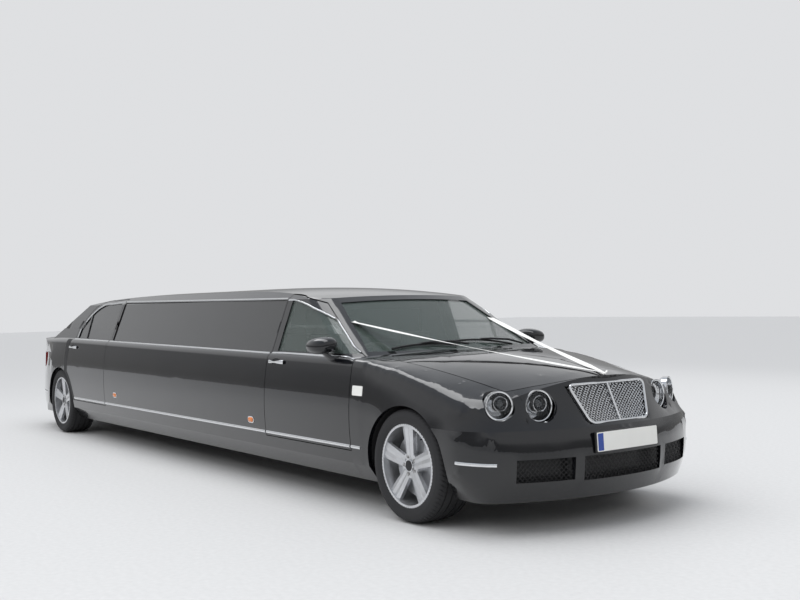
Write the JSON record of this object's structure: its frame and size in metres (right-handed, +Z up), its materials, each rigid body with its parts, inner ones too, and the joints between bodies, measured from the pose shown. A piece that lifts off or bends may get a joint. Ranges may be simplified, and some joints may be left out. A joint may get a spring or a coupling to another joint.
{
  "type": "stretch limousine",
  "caption": "Long black stretch limousine with opening doors, bonnet and boot lid, steered front wheels and a furnished cabin behind dark glass.",
  "frame": {"origin": "on the ground, at mid length on the centre line", "axes": "+X forward, +Y to the car's left, +Z up"},
  "size_m": [8.49, 2.118, 1.4793],
  "materials": {
    "paint": "deep gloss black",
    "structure": "satin black",
    "chrome": "polished",
    "alloy": "satin silver",
    "steel": "raw",
    "iron": "cast",
    "tyre": "matte",
    "clear_glass": "clear, faint green",
    "dark_glass": "dark privacy",
    "lamp_glass": "clear",
    "red_lamp": "gloss",
    "leather": "dark grain",
    "plastic": "fine grain"
  },
  "bodies": {
    "body": {"cabin_frame": "paint", "cowl": "paint", "firewall": "structure", "floor_pan": "structure", "sills": "paint", "stretch_sides": "paint", "rear_bulkhead": "structure", "front_structure": "structure", "rear_structure": "structure", "front_wings": "paint", "front_fascia": "paint", "front_bumper": "paint", "rear_wings": "paint", "rear_bumper": "paint", "grille": "chrome", "headlamp_bowls": "chrome", "headlamp_lenses": "lamp_glass", "tail_lamps": "red_lamp", "windscreen": "clear_glass", "rear_window": "dark_glass", "stretch_windows": "dark_glass", "front_subframe": "structure", "front_upper_arms": "alloy", "rear_suspension": "structure", "engine": "iron", "propshaft": "steel", "exhaust": "steel", "front_seats": "leather", "partition": "plastic", "side_bench": "leather", "rear_bench": "leather", "dashboard": "plastic"},
    "bonnet": {"bonnet": "paint"},
    "boot_lid": {"boot_lid": "paint"},
    "steering_wheel": {"steering_wheel": "leather"},
    "door_front_left": {"door_front_left": "paint", "glass_front_left": "clear_glass", "mirror_left": "paint"},
    "door_rear_left": {"door_rear_left": "paint", "glass_rear_left": "dark_glass"},
    "knuckle_left": {"knuckle_left": "iron"},
    "wheel_front_left": {"rim_front_left": "alloy", "tyre_front_left": "tyre"},
    "wheel_rear_left": {"rim_rear_left": "alloy", "tyre_rear_left": "tyre"},
    "door_front_right": {"door_front_right": "paint", "glass_front_right": "clear_glass", "mirror_right": "paint"},
    "door_rear_right": {"door_rear_right": "paint", "glass_rear_right": "dark_glass"},
    "knuckle_right": {"knuckle_right": "iron"},
    "wheel_front_right": {"rim_front_right": "alloy", "tyre_front_right": "tyre"},
    "wheel_rear_right": {"rim_rear_right": "alloy", "tyre_rear_right": "tyre"}
  },
  "joints": [
    {"name": "steer_left", "type": "hinge", "parent": "body", "child": "knuckle_left", "pos_m": [3.32, 0.8015, 0.348], "axis": [0, 0, 1], "range_deg": [-30, 30]},
    {"name": "wheel_front_left_spin", "type": "hinge", "parent": "knuckle_left", "child": "wheel_front_left", "pos_m": [3.32, 0.8115, 0.348], "axis": [0, 1, 0], "continuous": true},
    {"name": "wheel_rear_left_spin", "type": "hinge", "parent": "body", "child": "wheel_rear_left", "pos_m": [-2.945, 0.8035, 0.348], "axis": [0, 1, 0], "continuous": true},
    {"name": "door_front_left_hinge", "type": "hinge", "parent": "body", "child": "door_front_left", "pos_m": [2.702, 0.95, 0.7], "axis": [0, 0, -1], "range_deg": [0, 65]},
    {"name": "door_rear_left_hinge", "type": "hinge", "parent": "body", "child": "door_rear_left", "pos_m": [-1.65, 0.95, 0.7], "axis": [0, 0, -1], "range_deg": [0, 65]},
    {"name": "steer_right", "type": "hinge", "parent": "body", "child": "knuckle_right", "pos_m": [3.32, -0.8015, 0.348], "axis": [0, 0, 1], "range_deg": [-30, 30]},
    {"name": "wheel_front_right_spin", "type": "hinge", "parent": "knuckle_right", "child": "wheel_front_right", "pos_m": [3.32, -0.8115, 0.348], "axis": [0, 1, 0], "continuous": true},
    {"name": "wheel_rear_right_spin", "type": "hinge", "parent": "body", "child": "wheel_rear_right", "pos_m": [-2.945, -0.8035, 0.348], "axis": [0, 1, 0], "continuous": true},
    {"name": "door_front_right_hinge", "type": "hinge", "parent": "body", "child": "door_front_right", "pos_m": [2.702, -0.95, 0.7], "axis": [0, 0, 1], "range_deg": [0, 65]},
    {"name": "door_rear_right_hinge", "type": "hinge", "parent": "body", "child": "door_rear_right", "pos_m": [-1.65, -0.95, 0.7], "axis": [0, 0, 1], "range_deg": [0, 65]},
    {"name": "bonnet_hinge", "type": "hinge", "parent": "body", "child": "bonnet", "pos_m": [2.79, 0, 0.975], "axis": [0, -1, 0], "range_deg": [0, 50]},
    {"name": "boot_hinge", "type": "hinge", "parent": "body", "child": "boot_lid", "pos_m": [-3.5, 0, 1.03], "axis": [0, 1, 0], "range_deg": [0, 75]},
    {"name": "steering_wheel_turn", "type": "hinge", "parent": "body", "child": "steering_wheel", "pos_m": [2.225, -0.43, 0.88], "axis": [-0.9135, 0, 0.4067], "range_deg": [-450, 450]}
  ],
  "couplings": [
    {"joint": "steer_right", "follows": "steer_left", "ratio": 1},
    {"joint": "steering_wheel_turn", "follows": "steer_left", "ratio": 15}
  ]
}
